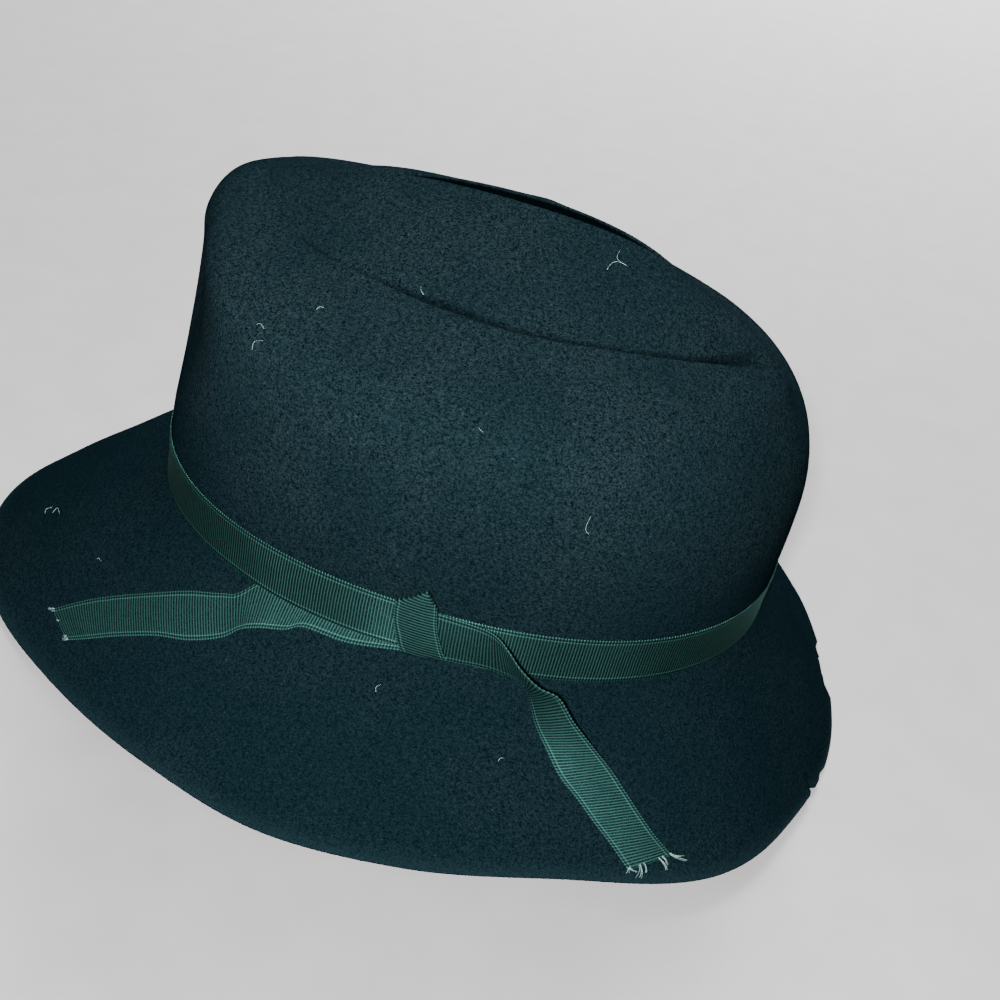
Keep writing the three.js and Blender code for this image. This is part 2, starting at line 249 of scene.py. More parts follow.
def pinched(points):
    """Pushes the wall back by PINCH_DEPTH at two bell-shaped finger dents,
    each with a narrow raised rim on its outer side."""
    x, y, z = np.moveaxis(points, -1, 0)
    across = (np.abs(x) / HALF_WIDTH - PINCH_MIDDLE) / PINCH_HALF
    up = z / CROWN_HEIGHT
    tall = smoothstep(up, 0.16, 0.56) * (1 - smoothstep(up, 0.66, 0.91))
    rim_at = RIM_AT - np.where(up < RIM_UP, 1.6, 3.8) * (up - RIM_UP) ** 2
    from_rim = np.abs(x) / HALF_WIDTH - rim_at
    dent = np.where(across < 0, np.exp(-1.4 * across ** 2),
                    1 - smoothstep(from_rim, -0.34, 0.02))
    rim = bell(from_rim, 0.07)
    return np.stack([x, y + (PINCH_DEPTH * dent - RIM_HEIGHT * rim) * tall * (y < 0),
                     z], -1)


def turned(angle):
    """Degrees round from the front, the same on both sides."""
    return np.degrees(np.abs((angle + math.pi) % (2 * math.pi) - math.pi))


def crease_row(angle):
    """Where the crease runs among the ring rows."""
    return table_at(CREASE_PATH, turned(angle) / 15, mirrored=True)[..., 0]


def settled(points, row, angle):
    """Lowers the top where the soft felt has sunk: by a bell of the angle at
    the front and at the back, and over the far shoulder."""
    turn = turned(angle)
    top = smoothstep(row, 2.2, 8.0)
    far = (smoothstep(-np.sin(angle), -0.2, 0.5) * smoothstep(-np.cos(angle), -0.1, 0.6)
           * smoothstep(row, 3.7, 7.5) * (1 - smoothstep(row, 12.5, 16)))
    at_front = bell(turn, FRONT_SLUMP_HALF) * top
    at_back = bell(180 - turn, BACK_SLUMP_HALF) * top
    lower = points.copy()
    lower[..., 2] -= (FAR_SLUMP * far + FRONT_SLUMP * at_front
                      + BACK_SLUMP * at_back)
    return lower


def fold(row, angle):
    """The crease at a point: how deep in it the point lies, from 0 to 1, by a
    flat-topped bell; the window that fades the crease out towards its ends;
    and the distance from its line in mm, above 0 towards the ridge."""
    turn = turned(angle)
    window = smoothstep(turn, 34, 58) * (1 - smoothstep(turn, 140, 171))
    apart = (row - crease_row(angle)) * ROW_STEP
    return window * bell(apart, CREASE_HALF, 4), window, apart


def creased(points, row, angle):
    """Sinks the crease, with a soft hollow round it and a low lip outside it.
    The far ridge stands a little lower than the near one, with a deep slot
    between them."""
    deep, window, apart = fold(row, angle)
    beside = (HOLLOW_DEPTH * bell(apart, HOLLOW_HALF)
              - LIP_HEIGHT * bell(apart + LIP_AWAY, LIP_HALF))
    ridge = smoothstep(-np.sin(angle), 0, 0.6) * bell(row - RIDGE_RING,
                                                      FAR_RIDGE_HALF)
    slot = smoothstep(np.abs(np.sin(angle)), 0, 0.5) * bell(row - SLOT_ROW,
                                                            SLOT_HALF)
    sunk = points.copy()
    sunk[..., 2] -= (CREASE_DEPTH * deep + window * beside
                     + FAR_RIDGE_DROP * ridge + SLOT_DEPTH * slot)
    return sunk


def crown(row, angle):
    """The crown's outer face by ring row and ring angle."""
    row, angle = np.broadcast_arrays(row, angle)
    points = ring_points(table_at(CROWN_RINGS, row), angle)
    return stand(creased(settled(pinched(points), row, angle), row, angle))


def worn(azimuth):
    """How far the cut edge is worn back: the deepest nibble at an azimuth."""
    depth = np.zeros_like(azimuth)
    for middle, half, deep in NIBBLES:
        away = np.abs(np.degrees(azimuth) - middle) / half
        depth = np.maximum(depth, deep * (1 - smoothstep(away, 0.55, 1.0)))
    return depth


def brim(angle, share):
    """The brim's upper face, from the root ring (share 0) straight out to
    the cut edge (share 1), domed by 4 s (1 - s)."""
    angle, share = np.broadcast_arrays(angle, share)
    root = stand(ring_points(np.broadcast_to(CROWN_RINGS[0], angle.shape + (6,)),
                             angle))
    x, y = root[..., 0], root[..., 1] - MIDDLE
    azimuth = np.arctan2(x, -y)
    edge = table_at(BRIM_EDGE, np.abs(np.degrees(azimuth)) / 20, mirrored=True)
    reach = edge[..., 0] * BRIM_REACH
    lift = np.maximum(0, edge[..., 1] * ROOT_HEIGHT - PRESSED)
    grow = 1 + (reach * share - worn(azimuth) * smoothstep(share, 0.86, 1)) \
        / np.hypot(x, y)
    z = root[..., 2] * (1 - share) + (lift + CUT_EDGE) * share
    return np.stack([x * grow, y * grow + MIDDLE,
                     z + BRIM_BULGE * 4 * share * (1 - share)], -1)


def wall(angle, share):
    """The crown's wall under the ribbon, by share of the ribbon's width."""
    angle, share = np.broadcast_arrays(angle, share)
    up = share * RIBBON_WIDTH / (CROWN_RINGS[1, 4] * CROWN_HEIGHT)
    ring = CROWN_RINGS[0] + (CROWN_RINGS[1] - CROWN_RINGS[0]) * up[..., None]
    return stand(ring_points(ring, angle))


def off_felt(degrees, place, off):
    """A point off the felt: the face by angle and place, plus off times the
    normal, which is the cross product of its two slopes."""
    angle, place, off = np.broadcast_arrays(np.radians(degrees), place, off)

    def at(a, p):
        return np.where((p > 0)[..., None], wall(a, np.maximum(p, 0)),
                        brim(a, np.maximum(-p, 0)))

    step = 0.02
    around = at(angle + step, place) - at(angle - step, place)
    up = at(angle, place + step) - at(angle, place - step)
    normal = np.cross(around, up)
    normal /= np.linalg.norm(normal, axis=-1, keepdims=True)
    return at(angle, place) + off[..., None] * normal


# the crown's frame is set so that the brim's front edge is where the frame
# has it
MIDDLE = 0.0
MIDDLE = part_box("felt_body")[0][1] / MM - brim(np.array(0.0), np.array(1.0))[1]


# ------------------------------------------------------------ mesh building
def normals_of(grid, looped):
    """Unit normals of a grid of points, from its two central differences."""
    if looped:
        around = np.roll(grid, -1, 1) - np.roll(grid, 1, 1)
    else:
        around = np.gradient(grid, axis=1)
    down = np.gradient(grid, axis=0)
    normal = np.cross(around, down)
    return normal / np.maximum(np.linalg.norm(normal, axis=-1, keepdims=True), 1e-9)


def outward_normals(grid, front_row):
    """Unit normals of a looped grid, turned so that its front looks forwards."""
    normal = normals_of(grid, True)
    return -normal if normal[front_row, 0, 1] > 0 else normal


def quads(rows, columns, looped, ringed):
    """Corner numbers of the quads of a grid, joined up where it is looped."""
    i = np.arange(rows if ringed else rows - 1)[:, None]
    j = np.arange(columns if looped else columns - 1)[None, :]
    i2, j2 = (i + 1) % rows, (j + 1) % columns
    return np.stack([i * columns + j, i2 * columns + j, i2 * columns + j2,
                     i * columns + j2], -1).reshape(-1, 4)


def mesh_piece(name, points, faces, uv=None, weld=None):
    """An object from points in mm and its faces, shaded smooth, with its
    faces turned outwards by the sign of the volume they enclose."""
    points = np.asarray(points).reshape(-1, 3)
    faces = np.asarray(faces)
    a, b, c = (points[faces[:, k]] for k in (0, 1, 2))
    volume = np.einsum("ij,ij->i", a, np.cross(b, c)).sum()
    if faces.shape[1] == 4:
        d = points[faces[:, 3]]
        volume += np.einsum("ij,ij->i", a, np.cross(c, d)).sum()
    if volume < 0:
        faces = faces[:, ::-1]
    mesh = bpy.data.meshes.new(name)
    mesh.from_pydata((points * MM).tolist(), [], faces.tolist())
    if uv is not None:
        layer = mesh.uv_layers.new(name="place")
        corner = np.empty(len(mesh.loops), dtype=np.int32)
        mesh.loops.foreach_get("vertex_index", corner)
        layer.data.foreach_set("uv", np.asarray(uv).reshape(-1, 2)[corner]
                               .astype(np.float32).ravel())
    mesh.polygons.foreach_set("use_smooth", np.ones(len(mesh.polygons), dtype=bool))
    if weld:
        work = bmesh.new()
        work.from_mesh(mesh)
        bmesh.ops.remove_doubles(work, verts=work.verts, dist=weld * MM)
        work.to_mesh(mesh)
        work.free()
    mesh.update()
    piece = bpy.data.objects.new(name, mesh)
    bpy.context.scene.collection.objects.link(piece)
    return piece


def ribbon_piece(name, grid, along, across, looped=False):
    """A ribbon from its middle surface: rows run across its width, at the
    shares in across, and columns along its length. The grid is moved half
    its thickness both ways along its normals and closed round its border.
    UV is mm / 100, along and across, and follows both faces."""
    rows, columns = grid.shape[:2]
    half = normals_of(grid, looped) * RIBBON / 2
    shell = np.concatenate([grid + half, (grid - half)[::-1]])
    width = np.asarray(across) * RIBBON_WIDTH
    uv = np.stack(np.broadcast_arrays(along / 100, width[:, None] / 100), -1)
    uv = np.concatenate([uv, uv[::-1]])
    faces = quads(2 * rows, columns, looped, True)
    if not looped:
        ends = []
        for j in (0, columns - 1):
            i = np.arange(rows - 1)
            a, b = i * columns + j, (i + 1) * columns + j
            c, d = (2 * rows - 1 - i) * columns + j, (2 * rows - 2 - i) * columns + j
            ends.append(np.stack([a, c, d, b] if j == 0 else [a, b, d, c], -1))
        faces = np.concatenate([faces, *ends])
    return mesh_piece(name, shell, faces, uv)


def run_along(line):
    """Distance along a line of points, from its first one."""
    steps = np.linalg.norm(np.diff(line, axis=0), axis=1)
    return np.concatenate([[0], np.cumsum(steps)])


def even_columns(count_for, grid_at, samples=400):
    """Column places that are evenly spaced along a ribbon's middle line, and
    their distances: the line is measured once and turned round."""
    place = np.linspace(0, 1, samples)
    line = grid_at(place)
    run = run_along(line[line.shape[0] // 2])
    even = np.linspace(0, run[-1], count_for(run[-1]))
    return np.interp(even, run, place), even


def rib_columns(length):
    """Four columns to each rib."""
    return int(round(length / RIB_PITCH)) * 4 + 1


def looped_edges(grid, along):
    """The tiny loops of the woven edge: the outermost rows swing in and out
    with the ribs."""
    swing = 0.16 * np.cos(2 * math.pi * along / RIB_PITCH)[:, None]
    moved = grid.copy()
    for edge, inside in ((0, 1), (-1, -2)):
        out = grid[edge] - grid[inside]
        out /= np.linalg.norm(out, axis=-1, keepdims=True)
        moved[edge] += out * swing
    return moved


# ------------------------------------------------------------------- pieces
def felt_body():
    """The felt in one closed surface: outer crown and brim, the rounded cut
    edge, and the same surface 2 mm inside it, zipped shut at the slot."""
    around = 2 * math.pi * np.arange(360) / 360
    rows = np.concatenate([
        np.linspace(LAST_RING, RIDGE_RING, 25)[:-1],
        np.linspace(RIDGE_RING, 12.7, 15)[:-1],
        np.linspace(12.7, 9.9, 66)[:-1],
        np.linspace(9.9, 4, 28)[:-1],
        np.linspace(4, 0, 16)])
    shares = np.linspace(0, 1, 36)[1:]
    outer = np.concatenate([crown(rows[:, None], around[None]),
                            brim(around[None], shares[:, None])])
    # the hand-shaped surface isn't quite even
    x, y, z = np.moveaxis(outer, -1, 0)
    uneven = (np.sin(x / 17 + 0.7) * np.sin(y / 21 + 1.1)
              + 0.6 * np.sin(x / 9 - y / 12) * np.sin(z / 11)
              + 0.5 * np.sin(y / 7 + z / 15 + 2))
    count = len(rows)
    calm = np.concatenate([
        smoothstep(LAST_RING - rows, 1.5, 5) * smoothstep(rows, 1.2, 3.5),
        4 * shares * (1 - shares) * smoothstep(shares, 0.15, 0.5)])
    outer = outer + (outward_normals(outer, count // 2)
                     * (UNEVEN * calm[:, None] * uneven)[..., None])
    # the inside has a third of the rows and follows the crease as a wide
    # soft ridge
    keep = np.r_[0:count:3, count - 1:len(outer):3]
    deep, window, apart = fold(rows[:, None], around[None])
    under = outer.copy()
    under[:count, :, 2] -= CREASE_DEPTH * (window * bell(apart, INSIDE_HALF) - deep)
    inner = under[keep] - FELT * outward_normals(under, count // 2)[keep]
    inner[0] = outer[0] - [0, 0, 1.3 * FELT]
    # rounded cut edge, down to the foot that the hat rests on
    edge, inward = outer[-1], inner[-1]
    inner = inner[:-1]
    side = np.stack([edge[:, 0], edge[:, 1] - MIDDLE, 0 * edge[:, 0]], -1)
    side /= np.linalg.norm(side, axis=-1, keepdims=True)
    bulge = 0.35
    cut = []
    for turn in np.radians([25, 50, 75, 100, 130, 155]):
        down = (1 - math.cos(turn)) / 2
        cut.append(edge + side * bulge * (math.sin(turn) - down)
                   - [0, 0, CUT_EDGE * down])
    foot = np.stack([inward[:, 0], inward[:, 1], edge[:, 2] - CUT_EDGE], -1)
    grid = np.concatenate([outer, cut, foot[None], inner[::-1]])
    # for the finish: the share of pale cut edge, partly painted sheen, and of
    # painted shade where the light doesn't reach into the crease and the slot
    pale = np.zeros(grid.shape[:2])
    first = len(outer)
    pale[first - 1:first + len(cut) + 1] = 1
    pale[first - 2], pale[first - 3] = 0.55, 0.15
    painted_fold_shade = np.zeros(grid.shape[:2])
    slot = (smoothstep(rows[:, None], SLOT_SHADE_FROM, SLOT_SHADE_FULL)
            * smoothstep(np.abs(np.sin(around)), 0.2, 0.6))
    painted_fold_shade[:count] = np.maximum(window * bell(apart, 1.3 * CREASE_HALF, 4), slot)
    piece = mesh_piece("felt_hat_body", grid,
                       quads(len(grid), len(around), True, False),
                       uv=np.stack([pale, painted_fold_shade], -1), weld=0.01)
    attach(piece, "root")
    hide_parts("felt_body")
    return piece


def band():
    """The ribbon round the crown's root: rows up the wall from just above
    the brim, slightly loose at its lower edge where the tail is tucked in."""
    shares = np.array([0.0, 0.02, 0.06, 0.1, 0.2, 0.35, 0.5, 0.65, 0.8, 0.9, 0.94,
                       0.98, 1.0])
    degrees = np.linspace(0, 360, 720, endpoint=False)
    line = off_felt(degrees, 0.5, 0.8)
    run = run_along(np.concatenate([line, line[:1]]))
    count = int(round(run[-1] / RIB_PITCH)) * 4
    even = np.interp(np.arange(count) / count * run[-1], run,
                     np.append(degrees, 360.0))
    tucked = smoothstep(even, 58, 70) * (1 - smoothstep(even, 84, 92))
    loose = (0.45 + 0.75 * tucked[None] * (1 - smoothstep(shares, 0.55, 1.0))[:, None]
             + 0.25 * (1 - smoothstep(shares, 0, 0.4))[:, None])
    grid = off_felt(even[None], 0.015 + shares[:, None], loose)
    along = np.arange(count) / count * round(run[-1] / RIB_PITCH) * RIB_PITCH
    piece = ribbon_piece("ribbon_round_crown", looped_edges(grid, along), along,
                         shares, looped=True)
    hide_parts("ribbon_band")
    return piece


# rows across a tail, closer at its edges
ACROSS = np.array([0, 0.02, 0.06, 0.1, 0.16, 0.26, 0.38, 0.5, 0.62, 0.74, 0.84,
                   0.9, 0.94, 0.98, 1])


def slope_mm(place):
    """A place as mm from the brim's root, up the wall or, below 0, down the
    brim."""
    return place * np.where(place > 0, RIBBON_WIDTH, BRIM_WIDTH)


def tail_grid(stations, place, chord, bow=0.0):
    """A tail's middle surface at places 0 to 1 along it. Each edge runs
    through its stations by Catmull-Rom. Across, it is either a chord between
    the two edges in space, or laid on the felt by angle, place and
    stand-off, and it bows by a sine."""
    at = place * (len(stations) - 1)
    w = ACROSS[:, None]
    if chord:
        low, high = (table_at(off_felt(*stations[:, k:k + 3].T), at) for k in (0, 3))
        straight = low[None] * (1 - w[..., None]) + high[None] * w[..., None]
    else:
        rail = table_at(stations, at)
        mix = rail[None, :, :3] * (1 - w[..., None]) + rail[None, :, 3:] * w[..., None]
        # the same millimetres up the wall as down the brim
        mm = slope_mm(rail[:, 1]) * (1 - w) + slope_mm(rail[:, 4]) * w
        place_at = mm / np.where(mm > 0, RIBBON_WIDTH, BRIM_WIDTH)
        straight = off_felt(mix[..., 0], place_at, mix[..., 2])
    if bow:
        normal = normals_of(straight, False)
        straight = straight + normal * (bow * np.sin(math.pi * w))[..., None]
    return straight


def tail(name, node, stations, chord, bow):
    """A tail with its woven edges."""
    def grid_at(place):
        return tail_grid(stations, place, chord, bow=bow)
    place, along = even_columns(rib_columns, grid_at)
    piece = ribbon_piece(name, looped_edges(grid_at(place), along), along, ACROSS)
    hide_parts(node)
    return piece


def knot():
    """The wrap that holds the tails: a path from behind the ribbon's top
    edge, over a fold that peaks towards the back, and down the front. Its
    rows are stations of that path and its columns run across the wrap."""
    # place up the ribbon's width, stand-off, middle and half span in degrees,
    # share of the peak, share of the bottom's tilt
    path = np.array([
        [0.99, 0.9, 91.2, 2.5, 0.0, 0.0], [1.05, 1.1, 91.3, 2.5, 0.7, 0.0],
        [1.08, 1.5, 91.4, 2.6, 0.96, 0.0], [1.09, 2.0, 91.5, 2.6, 1.0, 0.0],
        [1.08, 2.5, 91.5, 2.6, 0.98, 0.0], [1.04, 2.8, 91.6, 2.62, 0.88, 0.0],
        [0.90, 3.0, 91.7, 2.74, 0.6, 0.0], [0.68, 3.1, 92.0, 2.86, 0.3, 0.1],
        [0.42, 3.1, 92.6, 2.98, 0.1, 0.4], [0.16, 3.0, 93.2, 3.08, 0.0, 0.8],
        [0.00, 2.8, 93.8, 3.05, 0.0, 1.0], [-0.03, 2.3, 93.9, 3.05, 0.0, 1.0],
        [0.00, 1.7, 93.9, 3.05, 0.0, 1.0],
    ])
    across = np.array([0, 0.02, 0.06, 0.1, *np.linspace(0.15, 0.85, 15), 0.9, 0.94,
                       0.98, 1])
    rail = table_at(path, np.linspace(0, 1, 150) * (len(path) - 1))[None]
    w = across[:, None]
    peak = 0.42 * np.minimum(w / 0.66, 1 - 0.78 * (w - 0.66) / 0.34)
    cupped = 0.35 * np.sin(math.pi * w) * smoothstep(rail[..., 0], -0.1, 0.4)
    height = rail[..., 0] + peak * rail[..., 4] + 0.13 * w * rail[..., 5]
    grid = off_felt(rail[..., 2] + rail[..., 3] * (2 * w - 1), height,
                    rail[..., 1] + cupped)
    along = run_along(grid[len(across) // 2])
    # its ribs lie parallel to the ribbon round the crown
    level = (1.2 - height) * RIBBON_WIDTH
    piece = ribbon_piece("ribbon_wrap", looped_edges(grid, along), level, across)
    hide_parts("ribbon_knot")
    return piece


def threads(name, paths, radius, sides=5):
    """Thin threads as tubes: circles of the radius carried along each path
    of points, thinned to half at the free end, with closed ends."""
    points, faces, start = [], [], 0
    for path in paths:
        path = np.asarray(path, float)
        n = len(path)
        tangent = np.gradient(path, axis=0)
        tangent /= np.linalg.norm(tangent, axis=1, keepdims=True)
        one = np.cross(tangent, [0.3, 0.2, 0.93])
        one /= np.linalg.norm(one, axis=1, keepdims=True)
        two = np.cross(tangent, one)
        turn = 2 * math.pi * np.arange(sides) / sides
        size = radius * np.linspace(1, 0.5, n)[:, None, None]
        tube = path[:, None] + size * (one[:, None] * np.cos(turn)[None, :, None]
                                       + two[:, None] * np.sin(turn)[None, :, None])
        points += [tube.reshape(-1, 3), path[:1], path[-1:]]
        body = quads(n, sides, True, False) + start
        j = np.arange(sides)
        k = (j + 1) % sides
        first, last = start + n * sides, start + n * sides + 1
        end = start + (n - 1) * sides
        faces += [body[:, [0, 1, 2]], body[:, [0, 2, 3]],
                  np.stack([start + j, start + k, first + 0 * j], -1),
                  np.stack([end + k, end + j, last + 0 * j], -1)]
        start += n * sides + 2
    return mesh_piece(name, np.concatenate(points), np.concatenate(faces))


def lint(rng):
    """A few stray fibres caught on the felt, each a short bent thread."""
    paths = []
    t = np.linspace(0, 1, 12)[:, None]
    for row, degrees, length, heading, bend in LINT:
        angle = np.array(math.radians(degrees))
        at = [crown(np.array(row), angle) if row > 0 else brim(angle, np.array(-row))]
        for turn, climb in ((0.03, 0.0), (0.0, 0.05)):
            spot = angle + turn
            at.append(crown(np.array(row + climb * 4), spot) if row > 0
                      else brim(spot, np.array(climb - row)))
        one, two = (at[k] - at[0] for k in (1, 2))
        one /= np.linalg.norm(one)
        up = np.cross(one, two)
        up /= np.linalg.norm(up)
        up = up * np.sign(up @ (at[0] - [0, MIDDLE, 60]))
        two = np.cross(up, one)
        lead = one * math.cos(heading) + two * math.sin(heading)
        aside = np.cross(up, lead)
        path = (at[0] + lead * length * (t - 0.5)
                + aside * bend * length * np.sin(math.pi * t * rng.uniform(0.9, 1.6))
                + up * (0.45 + 0.5 * np.sin(math.pi * t)))
        paths.append(path)
    piece = threads("lint_fibres", paths, LINT_RADIUS)
    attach(piece, "root")
    return piece


def frays(name, stations, chord, bow, strands, rng):
    """Loose threads out of a tail's cut end. Each of strands has its share
    across the ribbon, length, sideways lean and hook, and is drawn as a few
    fibres that open towards their tips."""
    grid = tail_grid(stations, np.linspace(0, 1, 200), chord, bow=bow)
    end = grid[:, -1]
    out = end - grid[:, -6]
    out /= np.linalg.norm(out, axis=1, keepdims=True)
    side = end[-1] - end[0]
    side /= np.linalg.norm(side)
    t = np.linspace(0, 1, 10)[:, None]
    paths = []
    for share, length, lean, hook in strands:
        for _ in range(4 if length > 2 else 2):
            k = share * (len(end) - 1)
            i = min(int(k), len(end) - 2)
            start = end[i] * (1 - k + i) + end[i + 1] * (k - i)
            start = start + side * rng.normal(0, 0.16) - out[i] * 0.5
            size = length * rng.uniform(0.75, 1.1)
            path = (start + out[i] * size * t + side * (lean * t + hook * t ** 3)
                    + side * rng.normal(0, 0.28) * t ** 2)
            path[:, 2] += rng.uniform(0.1, 0.5) + rng.uniform(-0.1, 0.8) * t[:, 0] ** 2
            paths.append(path)
    piece = threads(name, paths, FRAY_RADIUS)
    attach(piece, "root")
    return piece


# ---------------------------------------------------------------- materials
class Value:
    """A shader value. Arithmetic on it adds Math nodes."""

    def __init__(self, finish, socket):
        self.finish, self.socket = finish, socket

    def math(self, operation, *others):
        return self.finish.node("Math", {"operation": operation},
                                dict(enumerate((self, *others))))

    def __add__(self, other):
        return self.math("ADD", other)

    def __sub__(self, other):
        return self.math("SUBTRACT", other)

    def __rsub__(self, other):
        return self.finish.node("Math", {"operation": "SUBTRACT"}, {0: other, 1: self})

    def __mul__(self, other):
        return self.math("MULTIPLY", other)

    __radd__ = __add__

    def between(self, low, high, to_low=0.0, to_high=1.0):
        """Smoothly from to_low below low to to_high above high."""
        return self.finish.node(
            "MapRange", {"interpolation_type": "SMOOTHSTEP"},
            {0: self, 1: low, 2: high, 3: to_low, 4: to_high})


class Finish:
    """A material in the making, with one method that adds any node."""

    def __init__(self, name):
        self.material = bpy.data.materials.new(name)
        self.material.use_nodes = True
        self.tree = self.material.node_tree
        self.tree.nodes.clear()

    def node(self, kind, settings=None, inputs=None, out=0):
        node = self.tree.nodes.new("ShaderNode" + kind)
        for key, value in (settings or {}).items():
            setattr(node, key, value)
        for key, value in (inputs or {}).items():
            if isinstance(value, Value):
                self.tree.links.new(value.socket, node.inputs[key])
            else:
                node.inputs[key].default_value = value
        return Value(self, node.outputs[out]) if len(node.outputs) else None

    def noise(self, vector, scale, detail=2.0, rough=0.5):
        return self.node("TexNoise", inputs={"Vector": vector, "Scale": scale,
                                             "Detail": detail, "Roughness": rough})

    def place(self, part):
        """One part of the piece's own UV map, which holds its places."""
        uv = self.node("UVMap", {"uv_map": "place"})
        return self.node("SeparateXYZ", inputs={0: uv}, out=part)

    def mix(self, share, first, second):
        """Mixes two colours by a share."""
        return self.node("Mix", {"data_type": "RGBA"},
                         {0: share, 6: first, 7: second}, out=2)

    def done(self, shader):
        self.node("OutputMaterial", inputs={"Surface": shader})
        return self.material


def felt_finish():
    """Dark teal felt without any shine: a mottled nap of fibres and clumps
    from half a millimetre to about a millimetre, pale flecks, slow changes
    of tone, a paler cut edge that is partly painted sheen, painted shade
    that darkens the felt towards the bottom, and painted shade in the crease
    and the slot."""
    f = Finish("felt_dark_teal")
    at = f.node("TexCoord", out=3)
    nap = f.noise(at, 1900.0, 2.0, 0.6)
    clump = f.noise(at, 800.0, 2.0, 0.5)
    slow = f.noise(at, 28.0, 2.0, 0.5)
    fibre = f.node("TexNoise", inputs={"Vector": f.node(
        "VectorMath", {"operation": "MULTIPLY"},
        {0: at, 1: (3400.0, 1000.0, 2200.0)}), "Scale": 1.0, "Detail": 2.0})
    grain = nap * 0.5 + clump * 0.22 + fibre * 0.28
    tone = grain.between(0.36, 0.64)
    colour = f.mix(tone, (0.0002, 0.0011, 0.0016, 1), (0.0056, 0.0112, 0.0136, 1))
    colour = f.mix(slow.between(0.35, 0.65) * 0.3, colour, (0.0008, 0.0038, 0.0050, 1))
    fleck = fibre.between(0.66, 0.76) * clump.between(0.48, 0.60)
    colour = f.mix(fleck * 0.4, colour, (0.022, 0.044, 0.049, 1))
    # the cut edge is paler: partly its own fibre ends, partly painted sheen along the
    # rim
    cut = f.place(0) * (nap.between(0.3, 0.6) * 0.5 + 0.3)
    colour = f.mix(cut, colour, (0.0055, 0.0120, 0.0142, 1))
    # the nap is faded and dusty on the crown's top and fresher below it
    # painted shade: the felt is darkened towards the bottom, by half below 45 mm and
    # not at all above 125 mm
    height = f.node("SeparateXYZ", inputs={0: at}, out=2)
    colour = f.mix(height.between(0.045, 0.125, 0.5, 0.0), colour,
                   (0.0003, 0.0020, 0.0030, 1))
    # painted shade in the crease and the slot, where the light doesn't reach
    colour = f.mix(f.place(1) * 0.95, colour, (0.0001, 0.0003, 0.0004, 1))
    relief = nap * 0.6 + fibre * 0.4 + clump * 0.8
    bump = f.node("Bump", inputs={"Strength": 0.6, "Distance": 0.0005,
                                  "Height": relief})
    shader = f.node("BsdfPrincipled", inputs={
        "Base Color": colour, "Roughness": 0.92, "Normal": bump,
        "Specular IOR Level": 0.0})
    return f.done(shader)


def ribbon_finish(name, turned_gloss):
    """Green-teal grosgrain: cross ribs RIB_PITCH apart with painted shade in the
    grooves between them and in a narrow gap by each edge, a pale line and
    pale loops at both edges. With turned_gloss its gloss is narrow one way
    and wide the other, as on threads that lie stretched."""
    f = Finish(name)
    along, across = (f.place(k) * 100.0 for k in (0, 1))
    at = f.node("TexCoord", out=3)
    drift = f.noise(at, 120.0, 2.0) * 0.35
    wave = ((along + drift) * (2 * math.pi / RIB_PITCH)).math("SINE")
    rib = wave.between(-0.45, 0.8)
    edge = across.math("MINIMUM", RIBBON_WIDTH - across)
    line = (edge - 1.35).math("ABSOLUTE").between(0.14, 0.34, 1.0, 0.0)
    loops = edge.between(0.15, 0.5, 1.0, 0.0)
    # painted shade in a narrow gap between the edge loops and the pale line
    edge_gap_shade = (edge - 0.8).math("ABSOLUTE").between(0.1, 0.35, 1.0, 0.0)
    thread = f.noise(at, 2600.0, 2.0)
    dusty = f.noise(at, 220.0, 3.0)
    # painted shade in the grooves between the ribs
    groove_shade = (0.0005, 0.0018, 0.0017, 1)
    crest = (0.0106, 0.0330, 0.0312, 1)
    pale = (0.0215, 0.0660, 0.0590, 1)
    colour = f.mix(rib, groove_shade, crest)
    colour = f.mix(thread.between(0.35, 0.7) * 0.3, colour, (0.0150, 0.0430, 0.0405, 1))
    colour = f.mix(dusty.between(0.45, 0.75) * 0.3, colour, (0.0028, 0.0115, 0.0108, 1))
    colour = f.mix(edge_gap_shade * 0.5, colour, groove_shade)
    colour = f.mix((line * 0.85).math("MAXIMUM", loops * 0.7)
                   * (0.5 + rib * 0.5), colour, pale)
    height = rib + line * 0.6 + loops * 0.5 + thread * 0.15
    bump = f.node("Bump", inputs={"Strength": 0.8, "Distance": 0.00011,
                                  "Height": height})
    rough, stretch, turn = (0.5, 0.85, 0.25) if turned_gloss else (0.68, 0, 0)
    shader = f.node("BsdfPrincipled", inputs={
        "Base Color": colour, "Roughness": rough, "Metallic": 0.8, "Normal": bump,
        "Specular IOR Level": 0.2, "Specular Tint": (0.2, 0.5, 0.45, 1),
        "Anisotropic": stretch, "Anisotropic Rotation": turn})
    return f.done(shader)


def plain_finish(name, dark, light, scale, rough):
    """A thread or floor finish: two close tones in a fine noise."""
    f = Finish(name)
    tone = f.noise(f.node("TexCoord", out=3), scale, 3.0)
    colour = f.mix(tone.between(0.3, 0.7), dark, light)
    shader = f.node("BsdfPrincipled", inputs={"Base Color": colour,
                                              "Roughness": rough})
    return f.done(shader)


# -------------------------------------------------------------------- scene
def look_from(azimuth, elevation, roll=0.0):
    """Axes of something that looks at the hat: right, up and back."""
    az, el, turn = (math.radians(v) for v in (azimuth, elevation, roll))
    back = np.array([math.sin(az) * math.cos(el), -math.cos(az) * math.cos(el),
                     math.sin(el)])
    right = np.array([math.cos(az), math.sin(az), 0.0])
    up = np.cross(back, right)
    return (right * math.cos(turn) + up * math.sin(turn),
            up * math.cos(turn) - right * math.sin(turn), back)


def place(thing, axes, position):
    """Sets an object's axes and its position, in mm."""
    matrix = np.eye(4)
    matrix[:3, 0], matrix[:3, 1], matrix[:3, 2] = axes
    matrix[:3, 3] = np.asarray(position) * MM
    thing.matrix_world = Matrix(matrix.tolist())


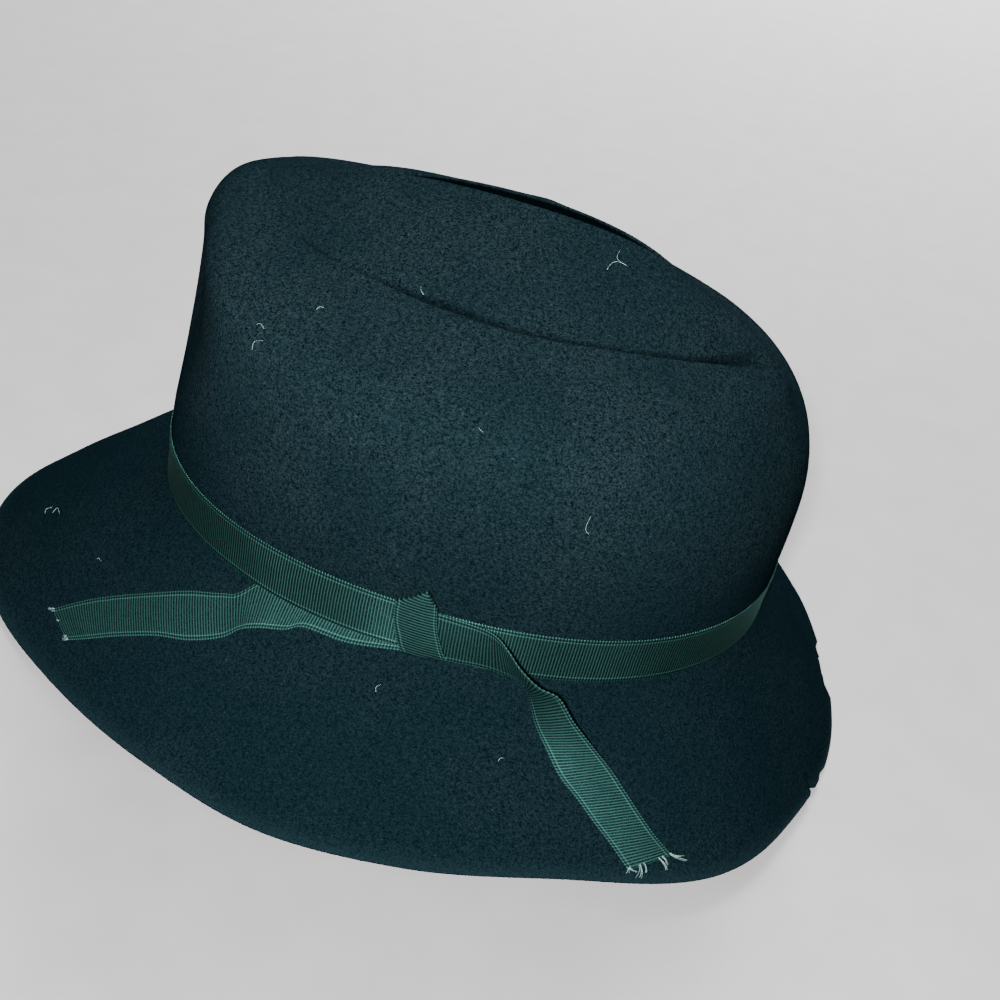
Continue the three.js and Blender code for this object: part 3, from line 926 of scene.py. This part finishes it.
def light(name, azimuth, elevation, distance, size, power, colour, at=(0, 14, 70),
          spread=180):
    """A square light that looks at the hat's middle, or at a place, from a
    distance in mm. Its size is in metres, its power in watts and its spread
    in degrees."""
    lamp = bpy.data.lights.new(name, "AREA")
    lamp.shape = "SQUARE"
    lamp.size, lamp.energy, lamp.color = size, power, colour
    lamp.spread = math.radians(spread)
    thing = bpy.data.objects.new(name, lamp)
    bpy.context.scene.collection.objects.link(thing)
    axes = look_from(azimuth, elevation)
    place(thing, axes, np.array(at) + axes[2] * distance)


def camera_and_lights():
    """The photo's camera, a small strong key light with three soft ones, and
    a plain grey floor that they make pale."""
    lens = bpy.data.cameras.new("photo_camera")
    lens.sensor_width = 36.0
    lens.lens = 36.0 * CAMERA_FOCAL / PHOTO_WIDTH
    lens.clip_start, lens.clip_end = 0.01, 20.0
    camera = bpy.data.objects.new("photo_camera", lens)
    bpy.context.scene.collection.objects.link(camera)
    axes = look_from(CAMERA_AZIMUTH, CAMERA_ELEVATION, CAMERA_ROLL)
    target = np.array(CAMERA_TARGET) + [0, MIDDLE, 0]
    place(camera, axes, target + axes[2] * CAMERA_DISTANCE)
    bpy.context.scene.camera = camera

    light("key_light", 93, 31, 800, 0.045, 42.0, (1.0, 0.98, 0.96))
    light("top_light", 275, 76, 4200, 3.0, 25.0, (0.97, 0.98, 1.0))
    light("fill_light", 235, 35, 3000, 1.5, 30.0, (0.97, 0.98, 1.0))
    light("backdrop_light", 277, 50, 2200, 1.6, 150.0, (0.98, 0.98, 1.0),
          (-1300, 150, 0), 80)
    world = bpy.data.worlds.new("studio")
    world.use_nodes = True
    background = world.node_tree.nodes["Background"]
    background.inputs["Color"].default_value = (0.92, 0.95, 1.0, 1)
    background.inputs["Strength"].default_value = 0.08
    bpy.context.scene.world = world

    half = 3000.0
    floor = mesh_piece("floor", [[-half, -half, 0], [half, -half, 0],
                                 [half, half, 0], [-half, half, 0]],
                       [[0, 1, 2, 3]])
    floor.data.materials.append(plain_finish(
        "floor_paper", (0.170, 0.166, 0.170, 1), (0.182, 0.178, 0.182, 1), 40.0, 0.9))


def main():
    camera_and_lights()
    rng = np.random.default_rng(7)
    felt = felt_finish()
    round_crown = ribbon_finish("grosgrain_round_crown", True)
    loose = ribbon_finish("grosgrain_loose", False)
    frayed = plain_finish("frayed_thread", (0.025, 0.065, 0.060, 1),
                          (0.070, 0.120, 0.110, 1), 900.0, 0.8)
    fluff = plain_finish("lint", (0.10, 0.16, 0.17, 1), (0.22, 0.30, 0.31, 1),
                         700.0, 0.8)

    felt_body().data.materials.append(felt)
    pieces = [
        band(),
        tail("ribbon_tail_laid", "ribbon_tail_front", FRONT_TAIL, False,
             0.0),
        tail("ribbon_tail_twisted", "ribbon_tail_back", BACK_TAIL, True,
             BACK_TAIL_BOW),
        knot(),
    ]
    for piece in pieces:
        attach(piece, "root")
        piece.data.materials.append(round_crown if piece is pieces[0] else loose)
    for name, stations, chord, bow, strands in (
            ("frays_front", FRONT_TAIL, False, 0.0, FRONT_STRANDS),
            ("frays_back", BACK_TAIL, True, BACK_TAIL_BOW, BACK_STRANDS)):
        frays(name, stations, chord, bow, strands, rng).data.materials.append(frayed)
    lint(rng).data.materials.append(fluff)


main()
